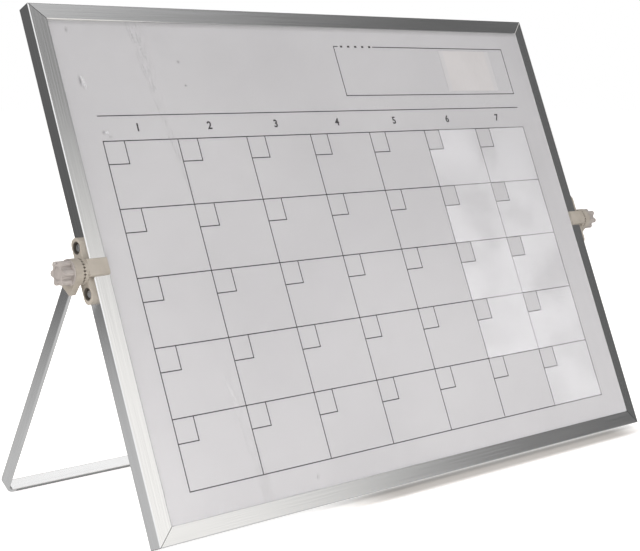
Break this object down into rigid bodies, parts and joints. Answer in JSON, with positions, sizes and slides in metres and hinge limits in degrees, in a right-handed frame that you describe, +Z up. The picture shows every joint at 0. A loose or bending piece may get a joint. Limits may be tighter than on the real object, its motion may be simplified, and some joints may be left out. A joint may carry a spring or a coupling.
{
  "type": "desk whiteboard easel",
  "caption": "Framed magnetic whiteboard hung at mid-height between the arms of a U-shaped bar stand, set at any slope by serrated hubs and star knobs.",
  "frame": {"origin": "on the desk, under the middle of the whole object, with the board at the slope of the picture", "axes": "+X to the right as one reads the board, along the pivot axis; +Y to the back; +Z up. The writing side faces -Y and leans back."},
  "size_m": [0.4366, 0.1516, 0.2788],
  "materials": {
    "frame_aluminium": "satin brushed along the rail, clear anodised",
    "strip_aluminium": "satin drawn flat bar",
    "white_enamel": "gloss white writing surface, grey printed grid on the front",
    "film": "clear peel-off film, lightly creased",
    "tab_paper": "plain pale label",
    "core": "honeycomb board",
    "key_steel": "zinc plated",
    "ivory_plastic": "moulded, fine matt",
    "knob_plastic": "moulded, satin",
    "plated_steel": "zinc plated",
    "brass": "turned"
  },
  "bodies": {
    "board": {"core_board": "core", "front_sheet": "white_enamel", "back_sheet": "white_enamel", "protective_film": "film", "film_tab": "tab_paper", "top_rail": "frame_aluminium", "bottom_rail": "frame_aluminium", "left_rail": "frame_aluminium", "right_rail": "frame_aluminium", "top_left_corner_key": "key_steel", "bottom_left_corner_key": "key_steel", "top_right_corner_key": "key_steel", "bottom_right_corner_key": "key_steel", "left_bracket": "ivory_plastic", "left_bracket_screws": "plated_steel", "left_pivot_bolt": "plated_steel", "right_bracket": "ivory_plastic", "right_bracket_screws": "plated_steel", "right_pivot_bolt": "plated_steel"},
    "stand": {"stand_strip": "strip_aluminium", "left_arm_fitting": "ivory_plastic", "right_arm_fitting": "ivory_plastic"},
    "left_clamp_washer": {"left_washer": "plated_steel"},
    "left_star_knob": {"left_knob_nut": "brass", "left_knob": "knob_plastic"},
    "right_clamp_washer": {"right_washer": "plated_steel"},
    "right_star_knob": {"right_knob_nut": "brass", "right_knob": "knob_plastic"}
  },
  "joints": [
    {"name": "stand_pivot", "type": "hinge", "parent": "board", "child": "stand", "pos_m": [0, -0.01148, 0.13939], "axis": [1, 0, 0], "continuous": true},
    {"name": "left_knob_travel", "type": "slide", "parent": "board", "child": "left_clamp_washer", "axis": [-1, 0, 0], "range_m": [0, 0.0014]},
    {"name": "left_knob_turn", "type": "hinge", "parent": "left_clamp_washer", "child": "left_star_knob", "pos_m": [0, -0.01148, 0.13939], "axis": [-1, 0, 0], "range_deg": [0, 720.5]},
    {"name": "right_knob_travel", "type": "slide", "parent": "board", "child": "right_clamp_washer", "axis": [1, 0, 0], "range_m": [0, 0.0014]},
    {"name": "right_knob_turn", "type": "hinge", "parent": "right_clamp_washer", "child": "right_star_knob", "pos_m": [0, -0.01148, 0.13939], "axis": [1, 0, 0], "range_deg": [0, 720.5]}
  ],
  "couplings": [
    {"joint": "left_knob_turn", "follows": "left_knob_travel", "rad_per_m": 8976},
    {"joint": "right_knob_turn", "follows": "right_knob_travel", "rad_per_m": 8976}
  ]
}
